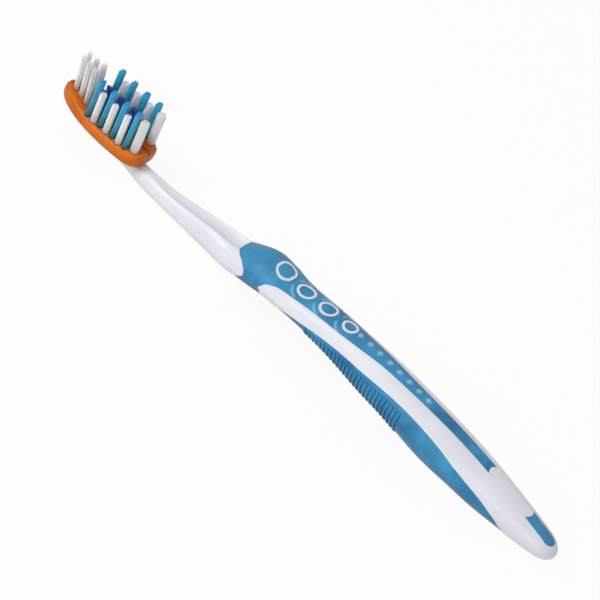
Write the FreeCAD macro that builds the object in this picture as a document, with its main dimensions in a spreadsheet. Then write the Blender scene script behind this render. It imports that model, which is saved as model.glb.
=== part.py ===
"""Manual toothbrush with a two-part flexing head, lying on its back.

Millimetres. +X runs towards the toe of the head, +Z is the bristle side, +Y is the left side.
The origin is under the middle of the brush, on the surface that it lies on.
Distances along the brush are counted from the end of the handle.
"""
import FreeCAD
import Part
import math
import os

# Driving dimensions, kept in the document's sheet.
SIZES = {
    # White core: handle, neck and the spine under the head.
    "handle_length": 122.0,
    "handle_width": 15.6,
    "handle_thickness": 14.9,
    "neck_length": 37.5,
    "neck_width": 5.6,
    "neck_thickness": 5.3,
    "neck_height": 4.2,
    "saddle_rise": 1.9,
    "scoop_length": 26.0,
    "scoop_width": 6.8,
    "scoop_depth": 2.0,
    # Bare label plate in the lane of the front strip.
    "plate_start": 11.5,
    "plate_length": 16.8,
    "plate_width": 5.4,
    # Soft grip moulded over the core.
    "grip_depth": 1.2,
    "grip_step": 0.18,
    "bond_gap": 0.04,
    "strip_tip": 1.8,
    "rib_end": 28.7,
    "rib_pitch": 1.38,
    "rib_width": 0.7,
    "rib_height": 0.35,
    "rib_margin": 1.2,
    "bump_gap": 3.9,
    "bump_pitch": 3.77,
    "bump_diameter": 2.3,
    "bump_height": 0.45,
    "bump_root": 0.35,
    "ring_end": 14.2,
    "ring_pitch": 8.03,
    "ring_diameter": 5.8,
    "ring_wall": 0.75,
    "pad_ring_width": 7.2,
    # Flexing head.
    "head_length": 31.0,
    "head_width": 14.4,
    "head_thickness": 4.1,
    "head_dish": 1.2,
    "head_gap": 0.4,
    "slit_width": 0.6,
    "hinge_offset": 1.4,
    "hinge_rise": 0.2,
    "hinge_radius": 0.8,
    "hinge_start": 2.5,
    "hinge_length": 20.0,
    "running_gap": 0.05,
    # Bristle tufts and the metal anchors that hold them.
    "tuft_depth": 2.6,
    "tuft_start": 5.5,
    "tuft_pitch": 4.7,
    "teal_length": 1.6,
    "teal_width": 2.6,
    "teal_height": 12.1,
    "teal_place": 4.35,
    "edge_length": 2.0,
    "edge_width": 2.2,
    "edge_height": 9.5,
    "edge_place": 4.9,
    "centre_length": 2.4,
    "centre_width": 1.5,
    "centre_height": 7.6,
    "heel_length": 2.6,
    "heel_width": 2.4,
    "heel_height": 10.4,
    "heel_place": 3.6,
    "heel_start": 3.0,
    "toe_length": 1.5,
    "toe_height": 11.8,
    "toe_start": 22.8,
    "toe_pitch": 2.55,
    "toe_width": 2.4,
    "toe_taper": 0.62,
    "tuft_inset": 0.6,
    "anchor_thickness": 0.3,
    "anchor_height": 1.0,
    "anchor_bite": 0.15,
    "anchor_lift": 0.2,
    # How far every cut runs past what it cuts.
    "overrun": 5.0,
}
RIB_COUNT = 27
BUMP_COUNT = 8
TEAL_COUNT = 4
TOE_COUNT = 3
TEAL_LEAN = 3.5
EDGE_LEAN = 5.5
HEEL_LEAN = 4.5
TOE_LEAN = 11.0
SCOOP_LEAN = 10.5
RING_COUNT = 4
SMALL_RING_SHARE = 0.85
SMALLEST_BUMP_SHARE = 0.6
CORNER_SHARE = 0.29
LANE_FLOOR_SHARE = 0.40
POST_FLOOR_SHARE = 0.50
OVAL_SIDES = 16
FLOOR_SIDES = 8
RIM_SIDES = 6
RIM_SHARE = 0.38

# Handle: place along its length, half width, then half thickness and height of the middle,
# which are both shares of the thickness.
HANDLE_SECTION_SHARES = [
    (0.0025, 0.096, 0.081, 0.362),
    (0.012, 0.186, 0.154, 0.362),
    (0.031, 0.269, 0.221, 0.376),
    (0.061, 0.314, 0.268, 0.386),
    (0.111, 0.359, 0.332, 0.403),
    (0.177, 0.410, 0.403, 0.426),
    (0.255, 0.462, 0.463, 0.463),
    (0.331, 0.487, 0.497, 0.497),
    (0.407, 0.494, 0.500, 0.534),
    (0.491, 0.487, 0.456, 0.601),
    (0.606, 0.462, 0.416, 0.654),
    (0.722, 0.436, 0.342, 0.691),
    (0.800, 0.462, 0.289, 0.674),
    (0.858, 0.487, 0.289, 0.664),
    (0.916, 0.500, 0.369, 0.664),
    (0.944, 0.481, 0.383, 0.624),
    (0.969, 0.449, 0.362, 0.564),
    (1.0025, 0.397, 0.322, 0.463),
]
# Neck: place along its length, half width, half thickness, height of the middle.
NECK_SECTION_SHARES = [
    (0.251, 0.893, 0.830, 1.410),
    (0.504, 0.696, 0.679, 1.145),
    (0.704, 0.571, 0.566, 1.000),
    (0.960, 0.500, 0.500, 1.000),
]
# Spine: place along the head, then as for the neck.
SPINE_SECTION_SHARES = [
    (0.113, 0.490, 0.377, 1.119),
    (0.339, 0.482, 0.283, 1.238),
    (0.597, 0.446, 0.208, 1.333),
    (0.758, 0.339, 0.132, 1.429),
    (0.806, 0.180, 0.066, 1.429),
]
# Lane of the front strip: place along the handle, half width.
LANE_SHARES = [
    (0.930, 0.530),
    (0.902, 0.506),
    (0.884, 0.436),
    (0.864, 0.365),
    (0.834, 0.317),
    (0.784, 0.282),
    (0.721, 0.269),
    (0.566, 0.186),
    (0.402, 0.141),
    (0.243, 0.130),
    (0.100, 0.135),
]
# Grip seen from the side, front edge: place along the handle, height.
TONGUE_SHARES = [
    (1.000, 0.732),
    (0.970, 0.725),
    (0.952, 0.660),
    (0.948, 0.590),
    (0.957, 0.480),
    (0.976, 0.320),
    (0.986, 0.060),
]
# Grip seen from the side, upper edge of the back: place along the handle, height.
BACK_EDGE_SHARES = [
    (0.104, 0.030),
    (0.138, 0.289),
    (0.252, 0.584),
    (0.328, 0.711),
    (0.402, 0.789),
    (0.489, 0.826),
    (0.602, 0.799),
    (0.742, 0.705),
    (0.839, 0.557),
    (0.880, 0.500),
    (0.899, 0.560),
    (0.902, 0.631),
]
# Half of the head: place along it, half width, dip of the top and rise of the underside.
FLEX_SECTION_SHARES = [
    (0.000, 0.42, 0.16, 0.24),
    (0.018, 0.62, 0.06, 0.12),
    (0.060, 0.79, 0.00, 0.04),
    (0.130, 0.91, 0.00, 0.00),
    (0.250, 0.985, 0.00, 0.00),
    (0.400, 1.00, 0.00, 0.00),
    (0.600, 0.94, 0.00, 0.00),
    (0.760, 0.80, 0.00, 0.02),
    (0.880, 0.60, 0.00, 0.08),
    (0.955, 0.40, 0.05, 0.20),
    (1.000, 0.17, 0.18, 0.42),
]
DOC = FreeCAD.newDocument("toothbrush")
SHEET = DOC.addObject("Spreadsheet::Sheet", "sizes")
UP = FreeCAD.Vector(0, 0, 1)
ACROSS = FreeCAD.Vector(0, 1, 0)
ALONG = FreeCAD.Vector(1, 0, 0)
SIDES = {"left": 1, "right": -1}


def fill_sheet():
    """Write every driving dimension into the sheet, with its alias."""
    for row, (alias, value) in enumerate(SIZES.items(), start=1):
        SHEET.set(f"A{row}", alias)
        SHEET.set(f"B{row}", str(value))
        SHEET.setAlias(f"B{row}", alias)
    DOC.recompute()


def size(alias):
    """A driving dimension, read from the sheet."""
    return float(SHEET.get(alias))


def from_end(distance):
    """X of a place that lies a distance from the end of the handle."""
    length = size("handle_length") + size("neck_length") + size("head_length")
    return distance - length / 2


def heel():
    """Distance of the head's heel from the end of the handle."""
    return size("handle_length") + size("neck_length")


def saddle():
    """Height of the flat on top of the spine."""
    return size("neck_height") + size("saddle_rise")


def underside():
    """Height of the head's underside."""
    return saddle() + size("head_gap")


def plate_top(distance):
    """Height of the bristle plate, at a distance from the heel: it is dished along the head."""
    swing = 2 * distance / size("head_length") - 1
    return underside() + size("head_thickness") + size("head_dish") * swing ** 2


def solid(name, shape):
    """A document object for a shape that no standard feature gives."""
    feature = DOC.addObject("Part::Feature", name)
    feature.Shape = shape
    return feature


def bound(kind, name, formulas):
    """A standard feature whose properties follow the sheet."""
    feature = DOC.addObject(kind, name)
    for target, formula in formulas.items():
        feature.setExpression(target, formula)
    return feature


def cut(name, base, tool):
    """One object less another."""
    feature = DOC.addObject("Part::Cut", name)
    feature.Base = base
    feature.Tool = tool
    return feature


def common(name, base, tool):
    """What two objects share."""
    feature = DOC.addObject("Part::Common", name)
    feature.Base = base
    feature.Tool = tool
    return feature


def fuse(name, pieces):
    """Objects joined to one."""
    feature = DOC.addObject("Part::MultiFuse", name)
    feature.Shapes = pieces
    return feature


def loft(name, wires):
    """A closed skin through wires that stand one behind the other, smooth from wire to wire."""
    feature = DOC.addObject("Part::Loft", name)
    feature.Sections = [solid(f"{name}_section", wire) for wire in wires]
    feature.Solid = True
    return feature


def prism(name, face, direction):
    """A face drawn out along a vector."""
    feature = DOC.addObject("Part::Extrusion", name)
    feature.Base = solid(f"{name}_outline", face)
    feature.DirMode = "Custom"
    feature.Dir = direction
    feature.LengthFwd = direction.Length
    feature.Solid = True
    return feature


def spline(points):
    """A smooth edge through points."""
    curve = Part.BSplineCurve()
    curve.interpolate(points)
    return curve.toShape()


def face_of(edges):
    """A flat face inside edges that follow one another."""
    return Part.Face(Part.Wire(edges))


def oval(distance, half_width, half_thickness, height, sides):
    """A closed oval across the brush, in short sides, which keep its meshes light."""
    points = []
    for step in range(sides + 1):
        turn = 2 * math.pi * step / sides
        y = half_width * math.cos(turn)
        z = height + half_thickness * math.sin(turn)
        points.append(FreeCAD.Vector(from_end(distance), y, z))
    return Part.makePolygon(points)


def handle_sections():
    """Distance, half width, half thickness and height of the handle's ovals. The grip's belly lies at zero."""
    thickness = size("handle_thickness")
    for place, half_width, half_thickness, height in HANDLE_SECTION_SHARES:
        yield (place * size("handle_length"), half_width * size("handle_width"),
               half_thickness * thickness, height * thickness - size("grip_step"))


def slim_sections(shares, start, length):
    """The same for the neck or the spine, which start at a distance and have a length."""
    for place, half_width, half_thickness, height in shares:
        yield (start + place * length, half_width * size("neck_width"),
               half_thickness * size("neck_thickness"), height * size("neck_height"))


def core_sections():
    """All ovals of the core, from the end of the handle to the tip of the spine."""
    sections = list(handle_sections())
    sections += slim_sections(NECK_SECTION_SHARES, size("handle_length"), size("neck_length"))
    sections += slim_sections(SPINE_SECTION_SHARES, heel(), size("head_length"))
    return sections


def core_loft(name, inset, sections, sides=OVAL_SIDES):
    """The core's skin, drawn in by an inset."""
    return loft(name, [oval(x, a - inset, b - inset, z, sides) for x, a, b, z in sections])


def pill(name, distance, along, across):
    """A post with round ends, longer along or across the brush, centred at a distance."""
    radius = min(along, across) / 2
    reach = FreeCAD.Vector(along / 2 - radius, across / 2 - radius, 0)
    foot = FreeCAD.Vector(from_end(distance), 0, POST_FLOOR_SHARE * size("handle_thickness"))
    rise = past_top() - foot.z
    disc = Part.makeCylinder(radius, rise, foot)
    if reach.Length == 0:
        return solid(name, disc)
    half = FreeCAD.Vector(reach.x or radius, reach.y or radius, 0)
    block = Part.makeBox(2 * half.x, 2 * half.y, rise, foot - half)
    post = disc.translated(reach).multiFuse([disc.translated(-reach), block])
    return solid(name, post.removeSplitter())


def lane_floor():
    """Height at which the tools of the front strip start."""
    return LANE_FLOOR_SHARE * size("handle_thickness")


def past_top():
    """A height above everything on the handle."""
    return 2 * size("handle_thickness")


def lane(name, inset):
    """Tool for the front strip: its plan outline, drawn in by an inset and taken upwards."""
    places = [(x * size("handle_length"), y * size("handle_width") - inset) for x, y in LANE_SHARES]
    places.append((size("strip_tip") + inset + places[-1][1], places[-1][1]))
    left = [FreeCAD.Vector(from_end(x), y, lane_floor()) for x, y in places]
    right = [FreeCAD.Vector(point.x, -point.y, point.z) for point in left]
    tip = FreeCAD.Vector(from_end(size("strip_tip") + inset), 0, lane_floor())
    edges = [spline(left), Part.Arc(left[-1], tip, right[-1]).toShape(), spline(right[::-1])]
    edges.append(Part.makeLine(right[0], left[0]))
    return prism(name, face_of(edges), UP * (past_top() - lane_floor()))


def back(name, inset):
    """Tool for pad, collar and back of the grip: their side outline, taken across the brush."""
    length = size("handle_length")
    thickness = size("handle_thickness")
    reach = size("handle_width")
    tongue = [FreeCAD.Vector(from_end(x * length - inset), -reach, z * thickness) for x, z in TONGUE_SHARES]
    edge = [FreeCAD.Vector(from_end(x * length), -reach, z * thickness - inset) for x, z in BACK_EDGE_SHARES]
    below = -size("overrun")
    corners = [edge[-1], FreeCAD.Vector(edge[-1].x, -reach, past_top())]
    corners += [FreeCAD.Vector(tongue[0].x, -reach, past_top()), tongue[0]]
    under = [tongue[-1], FreeCAD.Vector(tongue[-1].x, -reach, below)]
    under += [FreeCAD.Vector(edge[0].x, -reach, below), edge[0]]
    edges = list(Part.makePolygon(corners).Edges) + [spline(tongue)]
    edges += list(Part.makePolygon(under).Edges) + [spline(edge)]
    return prism(name, face_of(edges), ACROSS * (2 * reach))


def ring_place(step):
    """Distance of a ring from the end of the handle. The last ring is on the pad."""
    return size("handle_length") - size("ring_end") - (RING_COUNT - 1 - step) * size("ring_pitch")


def ring_posts(name, inset):
    """Posts at the rings on the front strip, drawn in by an inset: a small first ring, a wide one on the pad."""
    posts = []
    for step in range(RING_COUNT):
        along = size("ring_diameter") * (SMALL_RING_SHARE if step == 0 else 1)
        across = size("pad_ring_width") if step == RING_COUNT - 1 else along
        posts.append(pill(f"{name}_post", ring_place(step), along - 2 * inset, across - 2 * inset))
    return fuse(name, posts)


def plate_post(name, inset):
    """Post at the bare label plate, drawn in by an inset."""
    distance = size("plate_start") + size("plate_length") / 2
    return pill(name, distance, size("plate_length") - 2 * inset, size("plate_width") - 2 * inset)


def build_core(outer, floor):
    """The white moulding: skin, less the grip's pocket, the neck's scoop, the saddle and the hinge grooves."""
    region = fuse("pocket_region", [lane("pocket_lane", 0), back("pocket_back", 0)])
    rings = cut("ring_walls", ring_posts("ring_outsides", 0), ring_posts("ring_insides", size("ring_wall")))
    kept = fuse("kept_in_pocket", [floor, rings, plate_post("label_plate", 0)])
    pocketed = cut("pocketed_core", outer, cut("grip_pocket", region, kept))
    tools = [scoop(), saddle_block()]
    tools += [hinge_rod(f"spine_groove_{name}", side, "bond_gap") for name, side in SIDES.items()]
    return cut("handle_core", pocketed, fuse("core_cuts", tools))


def scoop():
    """Trough in the front of the neck: deepest at the pad's edge, and running out towards the head."""
    trough = bound("Part::Cylinder", "scoop", {
        "Radius": "(sizes.scoop_width ^ 2 / 4 + sizes.scoop_depth ^ 2) / (2 * sizes.scoop_depth)",
        "Height": "sizes.scoop_length + sizes.overrun",
    })
    trough.recompute()
    half_thickness, height = list(handle_sections())[-1][2:]
    lift = trough.Radius.Value - size("scoop_depth")
    start = FreeCAD.Vector(from_end(size("handle_length")), 0, height + half_thickness + lift)
    fade = math.degrees(math.atan(size("scoop_depth") / size("scoop_length")))
    trough.Placement = FreeCAD.Placement(start, FreeCAD.Rotation(ACROSS, 90 + SCOOP_LEAN - fade))
    return trough


def saddle_block():
    """Block that cuts the spine flat under the head."""
    block = bound("Part::Box", "saddle_block", {
        "Length": "sizes.head_length + sizes.overrun",
        "Width": "2 * sizes.neck_width",
        "Height": "sizes.neck_thickness",
    })
    corner = FreeCAD.Vector(from_end(heel() - size("head_gap")), -size("neck_width"), saddle())
    block.Placement = FreeCAD.Placement(corner, FreeCAD.Rotation())
    return block


def hinge_rod(name, side, gap_alias=None):
    """Rod on a hinge axis: the cord itself, or its groove, which is larger by a gap."""
    gap = size(gap_alias) if gap_alias else 0
    more = f" + sizes.{gap_alias}" if gap_alias else ""
    rod = bound("Part::Cylinder", name, {
        "Radius": f"sizes.hinge_radius{more}",
        "Height": f"sizes.hinge_length{more}{more}",
    })
    start = FreeCAD.Vector(from_end(heel() + size("hinge_start") - gap), side * size("hinge_offset"),
                           saddle() + size("hinge_rise"))
    rod.Placement = FreeCAD.Placement(start, FreeCAD.Rotation(UP, ALONG))
    return rod


def ribs():
    """Slices whose rims stand as ribs round the back of the grip and stop below the white side bands."""
    height = size("rib_height") - size("grip_step")
    skin = core_loft("rib_skin", -height, core_sections())
    slab = Part.makeBox(size("rib_width"), 2 * size("handle_width"), past_top())
    slabs = []
    for step in range(RIB_COUNT):
        distance = size("handle_length") - size("rib_end") - (RIB_COUNT - step) * size("rib_pitch")
        slabs.append(slab.translated(FreeCAD.Vector(from_end(distance), -size("handle_width"), 0)))
    teeth = common("rib_teeth", skin, solid("rib_slabs", Part.makeCompound(slabs)))
    return common("ribs", teeth, back("rib_limit", size("rib_margin")))


def bumps(skin):
    """Row of small domes on the front strip behind the rings, smaller towards the end of the handle."""
    domes = []
    ball = "(sizes.bump_diameter ^ 2 / 4 + sizes.bump_height ^ 2) / (2 * sizes.bump_height)"
    for step in range(BUMP_COUNT):
        growth = SMALLEST_BUMP_SHARE + (1 - SMALLEST_BUMP_SHARE) * step / (BUMP_COUNT - 1)
        dome = bound("Part::Sphere", "dome", {
            "Radius": f"{growth} * {ball}",
            "Angle1": f"asin(1 - (sizes.bump_height + sizes.bump_root) / ({ball}))",
        })
        dome.recompute()
        x = from_end(ring_place(0) - size("bump_gap") - (BUMP_COUNT - 1 - step) * size("bump_pitch"))
        probe = Part.makeLine(FreeCAD.Vector(x, 0, lane_floor()), FreeCAD.Vector(x, 0, past_top()))
        top = max(vertex.Z for vertex in skin.Shape.common(probe).Vertexes)
        middle = FreeCAD.Vector(x, 0, top + growth * size("bump_height") - dome.Radius.Value)
        dome.Placement = FreeCAD.Placement(middle, FreeCAD.Rotation())
        domes.append(dome)
    return fuse("bumps", domes)


def end_limit():
    """Block round the end strip, from the handle's end to the middle of the label plate."""
    block = bound("Part::Box", "end_limit", {
        "Length": "sizes.plate_start + sizes.plate_length / 2",
        "Width": "2 * sizes.handle_width",
        "Height": "2 * sizes.handle_thickness",
    })
    corner = FreeCAD.Vector(from_end(0), -size("handle_width"), lane_floor())
    block.Placement = FreeCAD.Placement(corner, FreeCAD.Rotation())
    return block


def build_grip(skin, floor):
    """The blue pieces: sleeve with ribs and bumps, the discs in the rings and the end strip."""
    gap = size("bond_gap")
    region = fuse("grip_region", [lane("grip_lane", gap), back("grip_back", gap)])
    kept = fuse("left_free", [floor, ring_posts("ring_holes", -gap), plate_post("plate_hole", -gap)])
    space = cut("grip_space", region, kept)
    limit = end_limit()
    ribbed = fuse("ribbed_skin", [skin, ribs()])
    bare = common("bare_sleeve", ribbed, cut("sleeve_space", space, limit))
    sleeve = fuse("grip_sleeve", [bare, bumps(skin)])
    discs = ring_posts("ring_discs", size("ring_wall") + gap)
    inserts = cut("ring_inserts", common("disc_tops", discs, skin), floor)
    return [sleeve, inserts, common("end_strip", skin, common("strip_space", space, limit))]


def flex_wire(side, place, width, dip, rise):
    """Section of a half head: flat towards the slit, with a round rim in short sides."""
    distance = place * size("head_length")
    x = from_end(heel() + distance)
    reach = side * width * size("head_width") / 2
    inner = side * size("slit_width") / 2
    top = plate_top(distance) - dip * size("head_thickness")
    low = underside() + rise * size("head_thickness")
    points = [FreeCAD.Vector(x, inner, top)]
    for step in range(RIM_SIDES + 1):
        turn = math.pi * step / RIM_SIDES
        across = 1 - RIM_SHARE + RIM_SHARE * math.sin(turn)
        points.append(FreeCAD.Vector(x, across * reach, (top + low + (top - low) * math.cos(turn)) / 2))
    points.append(FreeCAD.Vector(x, inner, low))
    return Part.makePolygon(points + points[:1])


def tuft_rows():
    """Each tuft of a half head: name, distance from the heel, place across, formulas of its sizes, lean."""
    pitch = size("tuft_pitch")
    for step in range(TEAL_COUNT):
        yield (f"teal_tuft_{step + 1}", size("tuft_start") + step * pitch, size("teal_place"),
               tuft_sizes("teal"), TEAL_LEAN)
    for step in range(TEAL_COUNT - 1):
        between = size("tuft_start") + step * pitch + pitch / 2
        yield f"edge_tuft_{step + 1}", between, size("edge_place"), tuft_sizes("edge"), EDGE_LEAN
        yield (f"centre_tuft_{step + 1}", between, size("tuft_inset") + size("centre_width") / 2,
               tuft_sizes("centre"), 0)
    yield "heel_tuft", size("heel_start"), size("heel_place"), tuft_sizes("heel"), HEEL_LEAN
    for step in range(TOE_COUNT):
        width = size("toe_width") - step * size("toe_taper")
        sizes = ("sizes.toe_length", f"sizes.toe_width - {step} * sizes.toe_taper", "sizes.toe_height")
        yield (f"toe_tuft_{step + 1}", size("toe_start") + step * size("toe_pitch"),
               size("tuft_inset") + width / 2, sizes, TOE_LEAN)


def tuft_sizes(kind):
    """Formulas of the length, width and height of a kind of tuft."""
    return f"sizes.{kind}_length", f"sizes.{kind}_width", f"sizes.{kind}_height"


def leaning_box(name, frame, low, length, width, height):
    """A box on a leaning axis, from a low end along it, with formulas for its sizes."""
    box = bound("Part::Box", name, {"Length": length, "Width": width, "Height": height})
    box.recompute()
    corner = FreeCAD.Vector(-box.Length.Value / 2, -box.Width.Value / 2, low)
    box.Placement = frame.multiply(FreeCAD.Placement(corner, FreeCAD.Rotation()))
    return box


def column(name, frame, low, length, width, height):
    """A leaning box with its long edges cut off: a tuft, or its hole."""
    box = leaning_box(f"{name}_block", frame, low, length, width, height)
    box.recompute()
    corner = CORNER_SHARE * min(box.Length.Value, box.Width.Value)
    axis = frame.Rotation.multVec(UP)
    edges = []
    for number, edge in enumerate(box.Shape.Edges, start=1):
        heading = edge.tangentAt(edge.FirstParameter)
        if abs(heading.dot(axis)) > heading.cross(axis).Length:
            edges.append((number, corner, corner))
    bundle = DOC.addObject("Part::Chamfer", name)
    bundle.Base = box
    bundle.Edges = edges
    return bundle


def build_half(side_name, side):
    """One half of the head, its tufts, their anchors and its hinge cord."""
    gap = size("running_gap")
    depth = size("tuft_depth")
    room = " + 2 * sizes.running_gap"
    nodes = []
    anchors = []
    tools = [hinge_rod(f"hinge_groove_{side_name}", side, "running_gap")]
    for name, distance, place, (length, width, height), lean in tuft_rows():
        label = f"{name}_{side_name}"
        root = FreeCAD.Vector(from_end(heel() + distance), side * place, plate_top(distance))
        frame = FreeCAD.Placement(root, FreeCAD.Rotation(ACROSS, lean))
        blade = ["sizes.anchor_thickness", f"{width} + 2 * sizes.anchor_bite", "sizes.anchor_height"]
        low = size("anchor_lift") - depth
        anchors.append(leaning_box(f"{label}_anchor", frame, low, *blade))
        slot = leaning_box(f"{label}_slot", frame, low - gap, *[formula + room for formula in blade])
        hole = column(f"{label}_hole", frame, -depth - gap, length + room, width + room,
                      "sizes.tuft_depth + sizes.running_gap + sizes.overrun")
        tools += [slot, hole]
        bundle = column(f"{label}_bundle", frame, -depth, length, width, f"sizes.tuft_depth + {height}")
        nodes.append(cut(label, bundle, slot))
    block = loft(f"flex_block_{side_name}", [flex_wire(side, *shares) for shares in FLEX_SECTION_SHARES])
    nodes.append(cut(f"flex_side_{side_name}", block, fuse(f"flex_cuts_{side_name}", tools)))
    nodes.append(hinge_rod(f"flex_hinge_{side_name}", side))
    staples = DOC.addObject("Part::Compound", f"anchor_staples_{side_name}")
    staples.Links = anchors
    return nodes + [staples]


def check(nodes):
    """Stop if any object failed, or if a node has no sound shape."""
    for thing in DOC.Objects:
        if "Invalid" in thing.State or "Error" in thing.State:
            raise RuntimeError(f"{thing.Label} failed: {thing.State}")
    for node in nodes:
        if node.Shape.isNull() or not node.Shape.isValid():
            raise RuntimeError(f"{node.Label} has no valid shape")


def main():
    """Build every node and write its file."""
    fill_sheet()
    sections = core_sections()
    outer = core_loft("core_skin", 0, sections)
    skin = core_loft("grip_skin", size("grip_step"), sections)
    inner_sections = sections[1:len(HANDLE_SECTION_SHARES) + 1]
    floor = core_loft("pocket_floor", size("grip_depth") + size("bond_gap"), inner_sections, FLOOR_SIDES)
    grip_floor = core_loft("grip_floor", size("grip_depth"), inner_sections, FLOOR_SIDES)
    skin.recompute()
    nodes = [build_core(outer, floor)] + build_grip(skin, grip_floor)
    for side_name, side in SIDES.items():
        nodes += build_half(side_name, side)
    DOC.recompute()
    check(nodes)
    os.makedirs("parts", exist_ok=True)
    for node in nodes:
        node.Shape.exportStep(f"parts/{node.Label}.step")


main()
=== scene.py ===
"""Looks of a manual toothbrush with a two-part flexing head, lying on its back.

Metres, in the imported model's frame: +X runs towards the toe of the head, +Z is the bristle side and +Y
the left side. The mouldings keep their solids, apart from the core, whose neck and spine run more smoothly.
The tufts become bundles of filaments.
"""
import bmesh
import bpy
import math
import random
from mathutils import Matrix, Vector


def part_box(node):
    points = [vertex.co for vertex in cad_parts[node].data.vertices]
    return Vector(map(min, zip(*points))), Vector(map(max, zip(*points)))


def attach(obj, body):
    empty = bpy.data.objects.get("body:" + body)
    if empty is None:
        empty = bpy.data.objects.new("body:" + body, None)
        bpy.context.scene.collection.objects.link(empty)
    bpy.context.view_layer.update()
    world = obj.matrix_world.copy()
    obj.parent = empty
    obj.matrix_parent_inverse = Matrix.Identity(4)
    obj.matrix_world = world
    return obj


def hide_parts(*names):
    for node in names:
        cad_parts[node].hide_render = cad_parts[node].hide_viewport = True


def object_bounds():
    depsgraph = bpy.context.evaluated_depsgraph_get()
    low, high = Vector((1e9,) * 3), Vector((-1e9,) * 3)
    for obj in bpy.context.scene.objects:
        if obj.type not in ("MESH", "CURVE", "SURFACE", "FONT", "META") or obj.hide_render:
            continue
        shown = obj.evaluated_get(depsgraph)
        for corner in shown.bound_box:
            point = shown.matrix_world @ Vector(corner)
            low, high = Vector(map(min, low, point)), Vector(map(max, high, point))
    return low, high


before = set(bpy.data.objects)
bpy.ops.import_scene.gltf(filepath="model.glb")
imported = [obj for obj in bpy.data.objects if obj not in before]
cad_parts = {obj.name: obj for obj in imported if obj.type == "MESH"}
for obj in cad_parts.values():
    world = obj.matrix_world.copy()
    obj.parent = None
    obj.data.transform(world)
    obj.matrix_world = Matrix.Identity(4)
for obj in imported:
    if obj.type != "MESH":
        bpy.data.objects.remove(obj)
CAD_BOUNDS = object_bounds()
MM = 0.001
NODE_SPACING = 200
# Points of a CAD mesh that lie this close are one point.
JOIN_DISTANCE = 0.002 * MM
SHARP_ANGLE = math.radians(35)

# Bristles. Leans are in degrees, towards the toe.
FILAMENT_RADIUS = 0.112 * MM
FILAMENT_PITCH = 0.23 * MM
FILAMENT_SIDES = 6
FILAMENT_FOOT = 1.2 * MM
FILAMENT_BOW = 0.02 * MM
TIP_STRAY = 0.05 * MM
# How far tips spread, as a share of their distance from the tuft's axis, and how much their heights differ.
CUT_SPLAY = 0.035
TOE_SPLAY = 0.10
CUT_UNEVEN = 0.3 * MM
TOE_UNEVEN = 1.3 * MM
TUFT_LEANS = {"teal_tuft": 3.5, "edge_tuft": 5.5, "centre_tuft": 0.0, "heel_tuft": 4.5, "toe_tuft": 11.0}
TUFT_DEPTH = 2.6 * MM
CORNER_SHARE = 0.29
# Centre tufts open out along the head, and nod towards the toe.
CENTRE_FLARE = 0.9
CENTRE_NOD = 1.9 * MM
# Along a filament: place, and radius as a share of the full one.
CUT_TIP_SHARES = [(0.0, 1.0), (0.5, 1.0), (0.972, 1.0), (0.99, 0.8), (1.0, 0.35)]
FINE_TIP_SHARES = [(0.0, 1.0), (0.5, 1.0), (0.8, 0.85), (0.93, 0.5), (1.0, 0.16)]

# Neck and spine, in millimetres: X, half width, half thickness, height of the middle, then half width and
# depth of the scoop. The first and the last row lie outside and only steer the curves.
NECK_STATIONS = [
    (22.97, 7.004, 5.394, 8.224, 3.0, 1.70),
    (27.05, 6.193, 4.798, 6.719, 3.0, 1.40),
    (36.16, 5.0, 4.375, 5.825, 2.7, 1.05),
    (45.65, 3.9, 3.55, 4.80, 2.15, 0.55),
    (53.15, 3.2, 2.975, 4.225, 1.75, 0.22),
    (62.75, 2.8, 2.65, 4.2, 0.6, 0.0),
    (67.75, 2.744, 2.0, 4.7, 0.6, 0.0),
    (74.75, 2.7, 1.5, 5.2, 0.6, 0.0),
    (82.75, 2.5, 1.1, 5.6, 0.6, 0.0),
    (87.75, 1.9, 0.7, 6.0, 0.6, 0.0),
    (89.236, 1.008, 0.35, 6.0, 0.6, 0.0),
    (90.0, 0.4, 0.1, 6.0, 0.6, 0.0),
]
NECK_STEP = 0.65
SCOOP_STEPS = 40
SKIN_STEPS = 48
# The solid's ovals have flats, which the neck takes up where it leaves the handle.
OVAL_SIDES = 16
FLAT_FADE = 5.0
# Saddle under the head: where it starts and its height, and the grooves of the two hinge cords in it.
SADDLE_START = 63.85
SADDLE_HEIGHT = 6.1
GROOVE_SPAN = (66.71, 86.79)
GROOVE_PLACE = 1.4
GROOVE_HEIGHT = 6.3
GROOVE_RADIUS = 0.84

# Row of domes on the front strip: X of the one nearest the handle's end, and how the row goes on.
DOME_START = -41.83 * MM
DOME_PITCH = 3.77 * MM
DOME_COUNT = 8
DOME_RADIUS = 1.3 * MM
DOME_CROWN = 0.4 * MM
# Strength of the painted highlight on the crowns of the domes.
DOME_HIGHLIGHT_SHARE = 0.75
# Painted highlight crescents beside the three rings nearest the handle's end: X of the last ring, then the
# strokes' sizes.
# Their ends fade out over a range of the cosine of the turn away from their middle.
RING_START = -11.54 * MM
RING_PITCH = 8.03 * MM
CRESCENT_COUNT = 3
CRESCENT_RADIUS = 4.2 * MM
CRESCENT_WIDTH = 0.6 * MM
CRESCENT_TURN = math.radians(50)
CRESCENT_ENDS = (0.8, 0.95)
# Strength of the painted highlight in the crescents.
CRESCENT_HIGHLIGHT_SHARE = 0.65
# The painted highlights show only where the surface looks up: rise of its normal where they start, and
# where they are full.
HIGHLIGHT_UPPER_SIDE = (0.0, 0.3)

# Painted shade at the rims of the soft mouldings, where they turn away from the eye: how narrow it is, and
# how strong.
RIM_SHADE_BLEND = 0.14
RIM_SHADE_SHARE = 1.2

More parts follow.
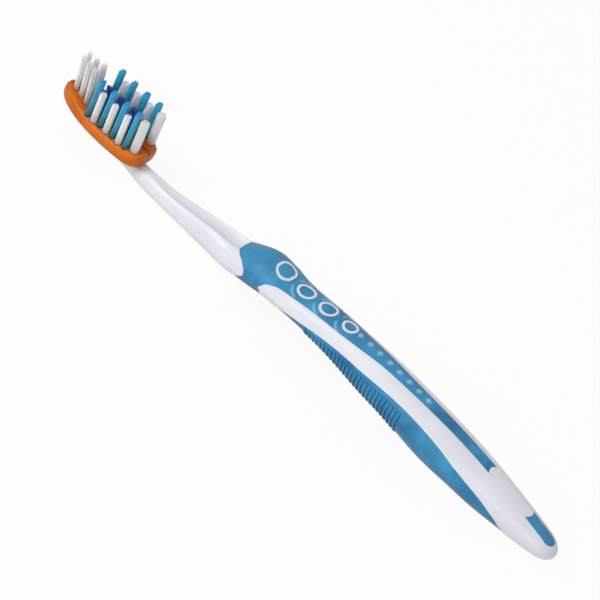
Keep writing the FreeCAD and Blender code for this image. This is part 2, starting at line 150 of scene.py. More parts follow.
# Camera, at the photograph's viewing angle.
CAMERA_RIGHT = Vector((-0.698, -0.610, 0.376))
CAMERA_UP = Vector((0.654, -0.328, 0.682))
CAMERA_TARGET = Vector((11.1, -14.6, -2.8)) * MM
CAMERA_DISTANCE = 4.0
PIXELS_PER_METRE = 3686.0
PHOTO_WIDTH = 600.0

# Setting. Each lamp has its place, the lengths of its sides and its power, and aims at the origin.
FLOOR_REACH = 8.0
FLOOR_GLOW_SHARE = 0.94
FILL_STRENGTH = 0.44
FILL_COLOUR = (0.95, 0.97, 1.0, 1.0)
WHITE = (1.0, 1.0, 1.0, 1.0)
LAMPS = {
    "key_lamp": ((0.4, 0.38, 0.6), (0.25, 0.25), 2.35),
    "side_lamp": ((-0.1, 0.75, 0.35), (0.6, 0.3), 1.3),
    "back_lamp": ((-0.2, -0.7, 0.5), (0.5, 0.3), 0.45),
}


def srgb(red, green, blue):
    """A colour given as on screen, from 0 to 255, in the linear values that shaders use."""
    linear = []
    for level in (red / 255, green / 255, blue / 255):
        linear.append(level / 12.92 if level <= 0.04045 else ((level + 0.055) / 1.055) ** 2.4)
    return (*linear, 1.0)


# Node tools

def add_node(tree, kind, place, **settings):
    """A node of a tree, at a place in its layout, with its settings."""
    node = tree.nodes.new(kind)
    node.location = (place[0] * NODE_SPACING, place[1] * NODE_SPACING)
    for name, value in settings.items():
        setattr(node, name, value)
    return node


def set_inputs(node, values):
    """Plain values for a node's named sockets."""
    for name, value in values.items():
        node.inputs[name].default_value = value
    return node


def new_group(name, inputs, outputs):
    """A shader node group with named sockets, and the nodes at its two ends."""
    tree = bpy.data.node_groups.new(name, "ShaderNodeTree")
    for label, (kind, value) in inputs.items():
        socket = tree.interface.new_socket(label, in_out="INPUT", socket_type=f"NodeSocket{kind}")
        socket.default_value = value
    for label, kind in outputs.items():
        tree.interface.new_socket(label, in_out="OUTPUT", socket_type=f"NodeSocket{kind}")
    return tree, add_node(tree, "NodeGroupInput", (-4, 0)), add_node(tree, "NodeGroupOutput", (4, 0))


def place_group(tree, group, place, values):
    """A group placed in a material, with its own values."""
    node = add_node(tree, "ShaderNodeGroup", place, node_tree=group)
    return set_inputs(node, values)


def new_material(name, values):
    """A material with its principled shader, and plain values on that shader's sockets."""
    material = bpy.data.materials.new(name)
    material.use_nodes = True
    tree = material.node_tree
    tree.nodes.clear()
    shader = set_inputs(add_node(tree, "ShaderNodeBsdfPrincipled", (2, 0)), values)
    output = add_node(tree, "ShaderNodeOutputMaterial", (4, 0))
    tree.links.new(shader.outputs["BSDF"], output.inputs["Surface"])
    return material, tree, shader


# Shared surface effects

def make_moulded_group():
    """Moulded plastic: faint clouding of the colour, uneven gloss and the fine grain of the mould."""
    tree, start, end = new_group("moulded_finish", {
        "Colour": ("Color", (0.8, 0.8, 0.8, 1.0)),
        "Cloud Colour": ("Color", (0.7, 0.7, 0.7, 1.0)),
        "Cloud Scale": ("Float", 60.0),
        "Grain Scale": ("Float", 4000.0),
        "Grain Height": ("Float", 0.1),
        "Least Roughness": ("Float", 0.25),
        "Most Roughness": ("Float", 0.4),
    }, {"Colour": "Color", "Roughness": "Float", "Normal": "Vector"})
    place = add_node(tree, "ShaderNodeTexCoord", (-4, -2))
    cloud = set_inputs(add_node(tree, "ShaderNodeTexNoise", (-2, 1)), {"Detail": 3.0, "Roughness": 0.55})
    grain = set_inputs(add_node(tree, "ShaderNodeTexNoise", (-2, -2)), {"Detail": 2.0, "Roughness": 0.6})
    mix = add_node(tree, "ShaderNodeMix", (1, 1), data_type="RGBA")
    spread = set_inputs(add_node(tree, "ShaderNodeMapRange", (-1, 0)), {"From Min": 0.3, "From Max": 0.7})
    gloss = set_inputs(add_node(tree, "ShaderNodeMapRange", (1, -0.5)), {"From Min": 0.3, "From Max": 0.7})
    relief = set_inputs(add_node(tree, "ShaderNodeBump", (1, -2)), {"Distance": 0.02 * MM})
    join = tree.links.new
    join(place.outputs["Object"], cloud.inputs["Vector"])
    join(place.outputs["Object"], grain.inputs["Vector"])
    join(start.outputs["Cloud Scale"], cloud.inputs["Scale"])
    join(start.outputs["Grain Scale"], grain.inputs["Scale"])
    join(cloud.outputs["Fac"], spread.inputs["Value"])
    join(spread.outputs["Result"], mix.inputs["Factor"])
    join(start.outputs["Colour"], mix.inputs["A"])
    join(start.outputs["Cloud Colour"], mix.inputs["B"])
    join(grain.outputs["Fac"], gloss.inputs["Value"])
    join(start.outputs["Least Roughness"], gloss.inputs["To Min"])
    join(start.outputs["Most Roughness"], gloss.inputs["To Max"])
    join(start.outputs["Grain Height"], relief.inputs["Strength"])
    join(grain.outputs["Fac"], relief.inputs["Height"])
    join(mix.outputs["Result"], end.inputs["Colour"])
    join(gloss.outputs["Result"], end.inputs["Roughness"])
    join(relief.outputs["Normal"], end.inputs["Normal"])
    return tree


def make_filament_group():
    """Filaments: colour from root to tip, and a tone of its own for each one."""
    tree, start, end = new_group("filament_finish", {
        "Root Colour": ("Color", (0.5, 0.5, 0.5, 1.0)),
        "Tip Colour": ("Color", (0.8, 0.8, 0.8, 1.0)),
        "Tone Spread": ("Float", 0.3),
    }, {"Colour": "Color"})
    along = add_node(tree, "ShaderNodeAttribute", (-4, -2), attribute_name="along")
    tone = add_node(tree, "ShaderNodeAttribute", (-4, -3), attribute_name="tone")
    mix = add_node(tree, "ShaderNodeMix", (-1, 0), data_type="RGBA")
    light = set_inputs(add_node(tree, "ShaderNodeMath", (-2, -3), operation="SUBTRACT"), {0: 1.0})
    share = add_node(tree, "ShaderNodeMath", (-3, -3), operation="MULTIPLY")
    shade = add_node(tree, "ShaderNodeVectorMath", (1, 0), operation="SCALE")
    join = tree.links.new
    join(along.outputs["Fac"], mix.inputs["Factor"])
    join(start.outputs["Root Colour"], mix.inputs["A"])
    join(start.outputs["Tip Colour"], mix.inputs["B"])
    join(tone.outputs["Fac"], share.inputs[0])
    join(start.outputs["Tone Spread"], share.inputs[1])
    join(share.outputs["Value"], light.inputs[1])
    join(mix.outputs["Result"], shade.inputs[0])
    join(light.outputs["Value"], shade.inputs["Scale"])
    join(shade.outputs["Vector"], end.inputs["Colour"])
    return tree


MOULDED = make_moulded_group()
FILAMENT = make_filament_group()


def moulded_material(name, finish, shader_values):
    """A moulded plastic: the shared finish on a principled shader."""
    material, tree, shader = new_material(name, shader_values)
    effect = place_group(tree, MOULDED, (0, 0), finish)
    tree.links.new(effect.outputs["Colour"], shader.inputs["Base Color"])
    tree.links.new(effect.outputs["Roughness"], shader.inputs["Roughness"])
    tree.links.new(effect.outputs["Normal"], shader.inputs["Normal"])
    return material


def filament_material(name, root, tip, spread, shader_values):
    """Bristle nylon: the shared filament colouring on a principled shader."""
    material, tree, shader = new_material(name, shader_values)
    colouring = {"Root Colour": root, "Tip Colour": tip, "Tone Spread": spread}
    effect = place_group(tree, FILAMENT, (0, 0), colouring)
    tree.links.new(effect.outputs["Colour"], shader.inputs["Base Color"])
    return material


# Finishes

def make_white_plastic():
    """White core with a soft gloss."""
    return moulded_material("white_plastic", {
        "Colour": srgb(238, 238, 243),
        "Cloud Colour": srgb(230, 230, 237),
        "Cloud Scale": 45.0,
        "Grain Scale": 5000.0,
        "Grain Height": 0.04,
        "Least Roughness": 0.3,
        "Most Roughness": 0.4,
    }, {"IOR": 1.49})


def row_offset(tree, level, start, pitch, count):
    """Way from the nearest place of a row along X, with the right side folded on to the left."""
    place = add_node(tree, "ShaderNodeTexCoord", (-11, level))
    axes = add_node(tree, "ShaderNodeSeparateXYZ", (-10, level))
    along = set_inputs(add_node(tree, "ShaderNodeMath", (-9, level), operation="SUBTRACT"), {1: start})
    order = set_inputs(add_node(tree, "ShaderNodeMath", (-8, level), operation="DIVIDE"), {1: pitch})
    nearest = add_node(tree, "ShaderNodeMath", (-7, level), operation="ROUND")
    limit = set_inputs(add_node(tree, "ShaderNodeClamp", (-6, level)), {"Min": 0.0, "Max": count - 1.0})
    middle = set_inputs(add_node(tree, "ShaderNodeMath", (-5, level), operation="MULTIPLY"), {1: pitch})
    beside = add_node(tree, "ShaderNodeMath", (-4, level), operation="SUBTRACT")
    aside = add_node(tree, "ShaderNodeMath", (-4, level - 1), operation="ABSOLUTE")
    offset = add_node(tree, "ShaderNodeCombineXYZ", (-3, level))
    join = tree.links.new
    join(place.outputs["Object"], axes.inputs["Vector"])
    join(axes.outputs["X"], along.inputs[0])
    join(along.outputs["Value"], order.inputs[0])
    join(order.outputs["Value"], nearest.inputs[0])
    join(nearest.outputs["Value"], limit.inputs["Value"])
    join(limit.outputs["Result"], middle.inputs[0])
    join(along.outputs["Value"], beside.inputs[0])
    join(middle.outputs["Value"], beside.inputs[1])
    join(axes.outputs["Y"], aside.inputs[0])
    join(beside.outputs["Value"], offset.inputs["X"])
    join(aside.outputs["Value"], offset.inputs["Y"])
    return offset.outputs["Vector"]


def soft_step(tree, place, source, start, end, levels):
    """A value that eases from one level to the other while its source runs from start to end."""
    step = add_node(tree, "ShaderNodeMapRange", place, interpolation_type="SMOOTHSTEP")
    set_inputs(step, {"From Min": start, "From Max": end, "To Min": levels[0], "To Max": levels[1]})
    tree.links.new(source, step.inputs["Value"])
    return step.outputs["Result"]


def make_dome_highlight_mask(tree):
    """Mask for the painted highlight on the crowns of the domes, which fades out to their feet."""
    reach = add_node(tree, "ShaderNodeVectorMath", (-2, 4), operation="LENGTH")
    tree.links.new(row_offset(tree, 4, DOME_START, DOME_PITCH, DOME_COUNT), reach.inputs[0])
    return soft_step(tree, (-1, 4), reach.outputs["Value"], DOME_CROWN, DOME_RADIUS, (DOME_HIGHLIGHT_SHARE, 0.0))


def make_crescent_highlight_mask(tree):
    """Mask for the painted highlight in short curved strokes beside the rings, on their side towards the
    head.
    """
    offset = row_offset(tree, 7, RING_START, RING_PITCH, CRESCENT_COUNT)
    reach = add_node(tree, "ShaderNodeVectorMath", (-2, 7), operation="LENGTH")
    past = set_inputs(add_node(tree, "ShaderNodeMath", (-1, 7), operation="SUBTRACT"), {1: CRESCENT_RADIUS})
    away = add_node(tree, "ShaderNodeMath", (0, 7), operation="ABSOLUTE")
    towards = add_node(tree, "ShaderNodeVectorMath", (-2, 8), operation="NORMALIZE")
    match = add_node(tree, "ShaderNodeVectorMath", (-1, 8), operation="DOT_PRODUCT")
    match.inputs[1].default_value = (math.cos(CRESCENT_TURN), math.sin(CRESCENT_TURN), 0.0)
    mask = add_node(tree, "ShaderNodeMath", (2, 7), operation="MULTIPLY")
    join = tree.links.new
    join(offset, reach.inputs[0])
    join(reach.outputs["Value"], past.inputs[0])
    join(past.outputs["Value"], away.inputs[0])
    join(offset, towards.inputs[0])
    join(towards.outputs["Vector"], match.inputs[0])
    stroke = soft_step(tree, (1, 7), away.outputs["Value"], 0.0, CRESCENT_WIDTH, (CRESCENT_HIGHLIGHT_SHARE, 0.0))
    ends = soft_step(tree, (1, 8), match.outputs["Value"], *CRESCENT_ENDS, (0.0, 1.0))
    join(stroke, mask.inputs[0])
    join(ends, mask.inputs[1])
    return mask.outputs["Value"]


def paint_rim_shade(material, colour):
    """Painted shade: a darker colour where a soft moulding turns away from the eye."""
    tree = material.node_tree
    shader = tree.nodes["Principled BSDF"]
    facing = set_inputs(add_node(tree, "ShaderNodeLayerWeight", (-1, 1)), {"Blend": RIM_SHADE_BLEND})
    share = add_node(tree, "ShaderNodeMath", (0, 1), operation="MULTIPLY", use_clamp=True)
    set_inputs(share, {1: RIM_SHADE_SHARE})
    rim = set_inputs(add_node(tree, "ShaderNodeMix", (1, 0), data_type="RGBA"), {"B": colour})
    plain = shader.inputs["Base Color"].links[0].from_socket
    tree.links.new(facing.outputs["Facing"], share.inputs[0])
    tree.links.new(share.outputs["Value"], rim.inputs["Factor"])
    tree.links.new(plain, rim.inputs["A"])
    tree.links.new(rim.outputs["Result"], shader.inputs["Base Color"])


def make_blue_grip():
    """Satin soft grip with a pearly cast and painted shade at its rims."""
    material = moulded_material("blue_grip", {
        "Colour": srgb(62, 160, 206),
        "Cloud Colour": srgb(28, 108, 156),
        "Cloud Scale": 110.0,
        "Grain Scale": 6000.0,
        "Grain Height": 0.12,
        "Least Roughness": 0.4,
        "Most Roughness": 0.54,
    }, {"Specular IOR Level": 0.4})
    # The painted rim shade is a deeper blue.
    paint_rim_shade(material, srgb(18, 72, 110))
    return material


def make_grip_with_painted_highlights():
    """The same grip on the sleeve, with painted highlights on the domes and crescents on its upper side."""
    material = make_blue_grip()
    material.name = "blue_grip_with_painted_highlights"
    tree = material.node_tree
    shader = tree.nodes["Principled BSDF"]
    plain = shader.inputs["Base Color"].links[0].from_socket
    place = add_node(tree, "ShaderNodeTexCoord", (-2, 2))
    normal = add_node(tree, "ShaderNodeSeparateXYZ", (-1, 2))
    marks = add_node(tree, "ShaderNodeMath", (3, 5), operation="MAXIMUM")
    upper = add_node(tree, "ShaderNodeMath", (4, 4), operation="MULTIPLY")
    # Colour of the painted highlights on the domes and crescents.
    mix = set_inputs(add_node(tree, "ShaderNodeMix", (1, 1), data_type="RGBA"), {"B": srgb(150, 205, 232)})
    join = tree.links.new
    join(make_dome_highlight_mask(tree), marks.inputs[0])
    join(make_crescent_highlight_mask(tree), marks.inputs[1])
    join(place.outputs["Normal"], normal.inputs["Vector"])
    join(marks.outputs["Value"], upper.inputs[0])
    join(soft_step(tree, (0, 2), normal.outputs["Z"], *HIGHLIGHT_UPPER_SIDE, (0.0, 1.0)), upper.inputs[1])
    join(upper.outputs["Value"], mix.inputs["Factor"])
    join(plain, mix.inputs["A"])
    join(mix.outputs["Result"], shader.inputs["Base Color"])
    return material


def make_orange_flex():
    """Soft orange head halves with painted shade at their rims."""
    material = moulded_material("orange_flex", {
        "Colour": srgb(226, 118, 8),
        "Cloud Colour": srgb(204, 98, 4),
        "Cloud Scale": 130.0,
        "Grain Scale": 7000.0,
        "Grain Height": 0.1,
        "Least Roughness": 0.28,
        "Most Roughness": 0.4,
    }, {"Specular IOR Level": 0.2})
    # The painted rim shade is a deeper orange.
    paint_rim_shade(material, srgb(134, 52, 4))
    return material


def make_hinge_rubber():
    """Darker rubber of the two hinge cords."""
    return moulded_material("hinge_rubber", {
        "Colour": srgb(176, 82, 20),
        "Cloud Colour": srgb(150, 66, 14),
        "Cloud Scale": 200.0,
        "Grain Scale": 7000.0,
        "Grain Height": 0.15,
        "Least Roughness": 0.45,
        "Most Roughness": 0.6,
    }, {"IOR": 1.5})


def make_anchor_metal():
    """Drawn metal of the anchors, inside the tuft holes."""
    return moulded_material("anchor_metal", {
        "Colour": srgb(200, 196, 186),
        "Cloud Colour": srgb(178, 172, 160),
        "Cloud Scale": 900.0,
        "Grain Scale": 9000.0,
        "Grain Height": 0.1,
        "Least Roughness": 0.25,
        "Most Roughness": 0.4,
    }, {"Metallic": 1.0})


COLOURED_GLOSS = {"Roughness": 0.35, "IOR": 1.53, "Transmission Weight": 0.12}
WHITE_GLOSS = {"Roughness": 0.5, "IOR": 1.53, "Specular IOR Level": 0.3}


def make_white_nylon():
    """White bristles."""
    return filament_material("white_nylon", srgb(250, 246, 244), srgb(255, 255, 255), 0.07, WHITE_GLOSS)


def make_teal_nylon():
    """Bristles that fade from teal at the root to bright blue at the tip."""
    return filament_material("teal_nylon", srgb(66, 172, 180), srgb(70, 204, 254), 0.2, COLOURED_GLOSS)


def make_dark_blue_nylon():
    """Dark blue bristles of the middle rows."""
    return filament_material("dark_blue_nylon", srgb(32, 62, 138), srgb(64, 114, 208), 0.3, COLOURED_GLOSS)


MATERIALS = {
    "core_white": make_white_plastic(),
    "grip_blue": make_blue_grip(),
    "grip_blue_painted_highlights": make_grip_with_painted_highlights(),
    "flex_orange": make_orange_flex(),
    "hinge_rubber": make_hinge_rubber(),
    "anchor_metal": make_anchor_metal(),
    "bristle_white": make_white_nylon(),
    "bristle_teal": make_teal_nylon(),
    "bristle_dark_blue": make_dark_blue_nylon(),
}


# Mouldings

MOULDING_FINISHES = {
    "grip_sleeve": "grip_blue_painted_highlights",
    "ring_inserts": "grip_blue",
    "end_strip": "grip_blue",
    "flex_side_left": "flex_orange",
    "flex_side_right": "flex_orange",
    "flex_hinge_left": "hinge_rubber",
    "flex_hinge_right": "hinge_rubber",
    "anchor_staples_left": "anchor_metal",
    "anchor_staples_right": "anchor_metal",
}


def dress_moulding(name, finish):
    """The finish of a CAD node, with its curved faces shaded smooth."""
    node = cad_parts[name]
    node.data.materials.clear()
    node.data.materials.append(MATERIALS[finish])
    node.data.polygons.foreach_set("use_smooth", [True] * len(node.data.polygons))
    weld = node.modifiers.new("joined_faces", "WELD")
    weld.merge_threshold = JOIN_DISTANCE
    split = node.modifiers.new("sharp_edges", "EDGE_SPLIT")
    split.split_angle = SHARP_ANGLE


# White core

def station_slope(index, column):
    """Slope of one size at a station, weighed between the runs before and after it."""
    before, here, after = NECK_STATIONS[index - 1:index + 2]
    lead = here[0] - before[0]
    trail = after[0] - here[0]
    slope_in = (here[column] - before[column]) / lead
    slope_out = (after[column] - here[column]) / trail
    return (slope_in * trail + slope_out * lead) / (lead + trail)


def glide(x):
    """Sizes of neck and spine at an X in millimetres, on smooth curves through the stations."""
    index = 1
    while index < len(NECK_STATIONS) - 3 and x > NECK_STATIONS[index + 1][0]:
        index += 1
    start, end = NECK_STATIONS[index:index + 2]
    span = end[0] - start[0]
    share = (x - start[0]) / span
    sizes = []
    for column in range(1, len(start)):
        curve = (2 * share ** 3 - 3 * share ** 2 + 1) * start[column]
        curve += (3 * share ** 2 - 2 * share ** 3) * end[column]
        curve += (share ** 3 - 2 * share ** 2 + share) * span * station_slope(index, column)
        curve += (share ** 3 - share ** 2) * span * station_slope(index + 1, column)
        sizes.append(curve)
    return sizes


def neck_ring(x, saddle, groove):
    """Points round neck or spine at an X: across the top from left to right, then back round the skin."""
    half_width, half_thickness, height, scoop, depth = glide(x)
    if saddle:
        scoop = half_width * math.sqrt(1 - ((SADDLE_HEIGHT - height) / half_thickness) ** 2)
    step = 2 * math.pi / OVAL_SIDES
    flat = max(0.0, 1 - (x - NECK_STATIONS[1][0]) / FLAT_FADE)

    def skin(turn):
        """Place on the oval, or on its flats, at a turn from the left side."""
        chord = math.cos(step / 2) / math.cos(turn % step - step / 2)
        reach = 1 + flat * (chord - 1)
        return half_width * math.cos(turn) * reach, height + half_thickness * math.sin(turn) * reach

    edge = math.acos(scoop / half_width)
    side, top = skin(edge)
    outline = []
    for count in range(SCOOP_STEPS + 1):
        share = math.cos(math.pi * count / SCOOP_STEPS)
        level = top - depth * (1 - share ** 2)
        aside = abs(abs(side * share) - GROOVE_PLACE)
        if groove and aside < GROOVE_RADIUS:
            level = min(level, GROOVE_HEIGHT - math.sqrt(GROOVE_RADIUS ** 2 - aside ** 2))
        outline.append((side * share, level))
    for count in range(1, SKIN_STEPS):
        outline.append(skin(math.pi - edge + (math.pi + 2 * edge) * count / SKIN_STEPS))
    return [Vector((x, y, z)) * MM for y, z in outline]


def run_rings(start, end, saddle, groove):
    """Rings of one run of the neck or the spine."""
    steps = math.ceil((end - start) / NECK_STEP)
    return [neck_ring(start + (end - start) * step / steps, saddle, groove) for step in range(steps + 1)]


def add_neck(points, faces):
    """Neck and spine, from the grip to the tip under the head, as one closed form."""
    groove_start, groove_end = GROOVE_SPAN
    rings = run_rings(NECK_STATIONS[1][0], SADDLE_START, False, False)
    rings += run_rings(SADDLE_START, groove_start, True, False)
    rings += run_rings(groove_start, groove_end, True, True)
    rings += run_rings(groove_end, NECK_STATIONS[-2][0], True, False)
    start = len(points)
    around = SCOOP_STEPS + SKIN_STEPS
    for ring in rings:
        points += ring
    for index in range(len(rings) - 1):
        low = start + index * around
        for count in range(around):
            beside = (count + 1) % around
            faces.append((low + count, low + beside, low + around + beside, low + around + count))
    faces.append(tuple(range(start, start + around)))
    faces.append(tuple(range(len(points) - around, len(points))))


def add_handle(points, faces):
    """The handle as in the solid, closed at the plane where the neck starts."""
    part = bmesh.new()
    part.from_mesh(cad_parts["handle_core"].data)
    bmesh.ops.remove_doubles(part, verts=part.verts, dist=JOIN_DISTANCE)
    whole = part.verts[:] + part.edges[:] + part.faces[:]
    plane = (NECK_STATIONS[1][0] * MM, 0, 0)
    bmesh.ops.bisect_plane(part, geom=whole, plane_co=plane, plane_no=(1, 0, 0), clear_outer=True)
    bmesh.ops.holes_fill(part, edges=[edge for edge in part.edges if edge.is_boundary])
    part.verts.index_update()
    start = len(points)
    points += [point.co.copy() for point in part.verts]
    faces += [tuple(start + point.index for point in face.verts) for face in part.faces]
    part.free()


def make_core():
    """The white core: the handle as in the solid, then neck and spine with a smoother run."""
    points, faces = [], []
    add_handle(points, faces)
    add_neck(points, faces)
    piece = mesh_object("core_moulding", points, faces)
    form = bmesh.new()
    form.from_mesh(piece.data)
    bmesh.ops.recalc_face_normals(form, faces=form.faces)
    form.to_mesh(piece.data)
    form.free()
    piece.data.materials.append(MATERIALS["core_white"])
    split = piece.modifiers.new("sharp_edges", "EDGE_SPLIT")
    split.split_angle = SHARP_ANGLE
    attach(piece, "handle")
    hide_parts("handle_core")


# Bristles

def tuft_slot(name):
    """Material slot of a tuft."""
    if name.startswith("teal"):
        return "bristle_teal"
    return "bristle_dark_blue" if name.startswith("centre") else "bristle_white"


def tuft_axes(name):
    """Middle, axis, lengthwise direction and the three sizes of a tuft, from its solid's box and lean."""
    low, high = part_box(name)
    lean = math.radians(TUFT_LEANS[name.rsplit("_", 1)[0].rstrip("_0123456789")])
    span = high - low
    cosine, sine = math.cos(lean), math.sin(lean)
    height = (span.z * cosine - span.x * sine) / math.cos(2 * lean)
    length = (span.x * cosine - span.z * sine) / math.cos(2 * lean)
    return (low + high) / 2, Vector((sine, 0, cosine)), Vector((cosine, 0, -sine)), (length, span.y, height)


def bundle_places(length, width):
    """Places of the filaments across a tuft: rows that interlock, inside its cut corners."""
    places = []
    row_pitch = FILAMENT_PITCH * math.sqrt(3) / 2
    half_length = length / 2 - FILAMENT_RADIUS
    half_width = width / 2 - FILAMENT_RADIUS
    reach = half_length + half_width - CORNER_SHARE * min(length, width)
    rows = int(half_length / row_pitch)
    columns = int(half_width / FILAMENT_PITCH) + 1
    for row in range(-rows, rows + 1):
        for column in range(-columns, columns + 1):
            along = row * row_pitch
            across = (column + (row % 2) / 2) * FILAMENT_PITCH
            if abs(across) <= half_width and abs(along) + abs(across) <= reach:
                places.append((along, across))
    return places


def add_filament(mesh, foot, tip, bow, shares, radius):
    """One filament from foot to tip, bowed a little, with its tip shaped by shares."""
    points, faces, alongs = mesh
    axis = (tip - foot).normalized()
    first = axis.orthogonal().normalized()
    second = axis.cross(first)
    start = len(points)
    for along, share in shares:
        middle = foot.lerp(tip, along) + bow * (4 * along * (1 - along))
        for side in range(FILAMENT_SIDES):
            turn = 2 * math.pi * side / FILAMENT_SIDES
            points.append(middle + (first * math.cos(turn) + second * math.sin(turn)) * radius * share)
            alongs.append(along)
    for ring in range(len(shares) - 1):
        base = start + ring * FILAMENT_SIDES
        for side in range(FILAMENT_SIDES):
            beside = (side + 1) % FILAMENT_SIDES
            above = base + FILAMENT_SIDES
            faces.append((base + side, base + beside, above + beside, above + side))
    last = len(points) - FILAMENT_SIDES
    faces.append(tuple(range(start + FILAMENT_SIDES - 1, start - 1, -1)))
    faces.append(tuple(range(last, last + FILAMENT_SIDES)))


def mesh_object(name, points, faces):
    """A shown mesh made of points and faces."""
    mesh = bpy.data.meshes.new(name)
    mesh.from_pydata(points, [], faces)
    mesh.polygons.foreach_set("use_smooth", [True] * len(mesh.polygons))
    piece = bpy.data.objects.new(name, mesh)
    bpy.context.scene.collection.objects.link(piece)
    return piece


def make_tuft(name):
    """A tuft as a bundle of filaments, in place of its solid."""
    draw = random.Random(name)
    middle, axis, lengthwise, (length, width, height) = tuft_axes(name)
    across = Vector((0, 1, 0))
    toe = name.startswith("toe")
    shares = FINE_TIP_SHARES if toe else CUT_TIP_SHARES
    splay = TOE_SPLAY if toe else CUT_SPLAY
    flare = CENTRE_FLARE if name.startswith("centre") else 0.0
    nod = CENTRE_NOD if name.startswith("centre") else 0.0
    uneven = TOE_UNEVEN if toe else CUT_UNEVEN
    points, faces, alongs, tones = [], [], [], []
    foot_height = TUFT_DEPTH - FILAMENT_FOOT - height / 2
    for along, aside in bundle_places(length, width):
        offset = lengthwise * along + across * aside
        stray = Vector((draw.gauss(0, 1), draw.gauss(0, 1), 0)) * TIP_STRAY
        foot = middle + offset + axis * foot_height
        tip = middle + offset * (1 + splay) + lengthwise * (along * flare + nod) + stray
        tip += axis * (height / 2 - uneven * draw.random() ** 2)
        bow = Vector((draw.gauss(0, 1), draw.gauss(0, 1), 0)) * FILAMENT_BOW
        add_filament((points, faces, alongs), foot, tip, bow, shares, FILAMENT_RADIUS)
        tones += [draw.random()] * (len(shares) * FILAMENT_SIDES)
    piece = mesh_object(f"{name}_filaments", points, faces)
    for label, values in (("along", alongs), ("tone", tones)):
        piece.data.attributes.new(label, "FLOAT", "POINT").data.foreach_set("value", values)
    piece.data.materials.append(MATERIALS[tuft_slot(name)])
    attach(piece, "flex_left" if name.endswith("left") else "flex_right")
    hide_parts(name)


# Setting

def seen_rays(tree):
    """1 for the rays that show the surroundings: from the camera, off gloss and through clear material."""
    path = add_node(tree, "ShaderNodeLightPath", (-4, 2))
    shown = add_node(tree, "ShaderNodeMath", (-3, 2), operation="MAXIMUM")
    either = add_node(tree, "ShaderNodeMath", (-2, 2), operation="MAXIMUM")
    tree.links.new(path.outputs["Is Camera Ray"], shown.inputs[0])
    tree.links.new(path.outputs["Is Glossy Ray"], shown.inputs[1])
    tree.links.new(shown.outputs["Value"], either.inputs[0])
    tree.links.new(path.outputs["Is Transmission Ray"], either.inputs[1])
    return either.outputs["Value"]


def make_floor():
    """Plain white table, shown a little brighter than it lights."""
    corners = [Vector((x, y, 0)) * FLOOR_REACH for x, y in ((-1, -1), (1, -1), (1, 1), (-1, 1))]
    floor = mesh_object("floor", corners, [(0, 1, 2, 3)])
    floor.location.z = CAD_BOUNDS[0].z
    material, tree, shader = new_material("white_table", {"Roughness": 0.7, "Specular IOR Level": 0.1})
    place = add_node(tree, "ShaderNodeTexCoord", (-3, 0))
    cloud = set_inputs(add_node(tree, "ShaderNodeTexNoise", (-2, 0)), {"Scale": 3.0, "Detail": 2.0})
    tint = add_node(tree, "ShaderNodeMix", (0, 0), data_type="RGBA")
    set_inputs(tint, {"A": (0.86, 0.86, 0.87, 1.0), "B": (0.88, 0.88, 0.88, 1.0)})
    glow = set_inputs(add_node(tree, "ShaderNodeEmission", (1, -2)), {"Color": WHITE})
    seen = set_inputs(add_node(tree, "ShaderNodeMath", (1, 2), operation="MULTIPLY"), {1: FLOOR_GLOW_SHARE})
    blend = add_node(tree, "ShaderNodeMixShader", (3, 0))
    output = tree.nodes["Material Output"]
    join = tree.links.new
    join(place.outputs["Object"], cloud.inputs["Vector"])
    join(cloud.outputs["Fac"], tint.inputs["Factor"])
    join(tint.outputs["Result"], shader.inputs["Base Color"])
    join(seen_rays(tree), seen.inputs[0])
    join(seen.outputs["Value"], blend.inputs["Fac"])
    join(shader.outputs["BSDF"], blend.inputs[1])
    join(glow.outputs["Emission"], blend.inputs[2])
    join(blend.outputs["Shader"], output.inputs["Surface"])
    floor.data.materials.append(material)


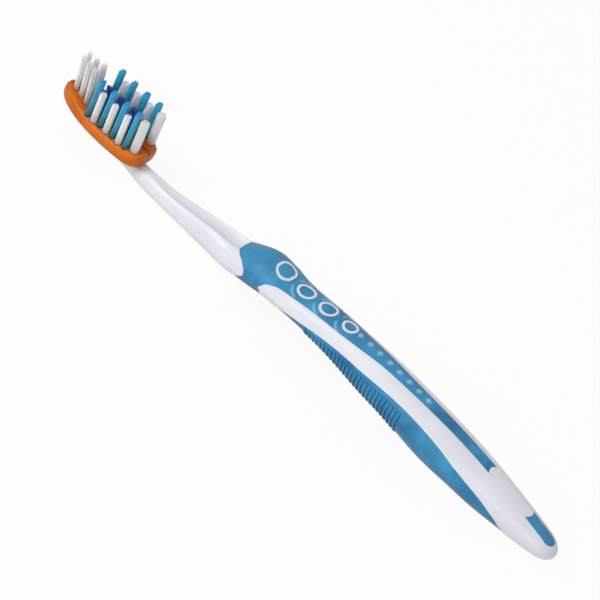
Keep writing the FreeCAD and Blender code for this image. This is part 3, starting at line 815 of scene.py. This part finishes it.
def make_world():
    """Even white surroundings: soft fill for the object, plain white to the camera."""
    world = bpy.data.worlds.new("studio")
    bpy.context.scene.world = world
    world.use_nodes = True
    tree = world.node_tree
    tree.nodes.clear()
    fill = add_node(tree, "ShaderNodeBackground", (0, 0))
    set_inputs(fill, {"Color": FILL_COLOUR, "Strength": FILL_STRENGTH})
    seen = set_inputs(add_node(tree, "ShaderNodeBackground", (0, -1)), {"Color": WHITE, "Strength": 1.0})
    blend = add_node(tree, "ShaderNodeMixShader", (2, 0))
    output = add_node(tree, "ShaderNodeOutputWorld", (4, 0))
    tree.links.new(seen_rays(tree), blend.inputs["Fac"])
    tree.links.new(fill.outputs["Background"], blend.inputs[1])
    tree.links.new(seen.outputs["Background"], blend.inputs[2])
    tree.links.new(blend.outputs["Shader"], output.inputs["Surface"])


def make_lamp(name, place, size, power):
    """A soft rectangular studio lamp, aimed at the origin."""
    lamp = bpy.data.lights.new(name, "AREA")
    lamp.shape = "RECTANGLE"
    lamp.size, lamp.size_y = size
    lamp.energy = power
    holder = bpy.data.objects.new(name, lamp)
    holder.location = place
    holder.rotation_euler = (-Vector(place)).to_track_quat("-Z", "Y").to_euler()
    bpy.context.scene.collection.objects.link(holder)


def make_camera():
    """A long lens at the photograph's angle, rolled so that the brush runs from corner to corner."""
    camera = bpy.data.cameras.new("camera")
    camera.sensor_width = 36.0
    camera.lens = PIXELS_PER_METRE * CAMERA_DISTANCE / PHOTO_WIDTH * camera.sensor_width
    towards = CAMERA_RIGHT.cross(CAMERA_UP)
    place = CAMERA_TARGET + towards * CAMERA_DISTANCE
    holder = bpy.data.objects.new("camera", camera)
    rows = zip(CAMERA_RIGHT, CAMERA_UP, towards, place)
    holder.matrix_world = Matrix([*rows, (0, 0, 0, 1)])
    bpy.context.scene.collection.objects.link(holder)
    bpy.context.scene.camera = holder


for node_name, finish_name in MOULDING_FINISHES.items():
    dress_moulding(node_name, finish_name)
make_core()
for node_name in sorted(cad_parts):
    if "tuft" in node_name:
        make_tuft(node_name)
make_floor()
make_world()
for lamp_name, (lamp_place, lamp_size, lamp_power) in LAMPS.items():
    make_lamp(lamp_name, lamp_place, lamp_size, lamp_power)
make_camera()
bpy.context.scene.view_settings.view_transform = "Standard"
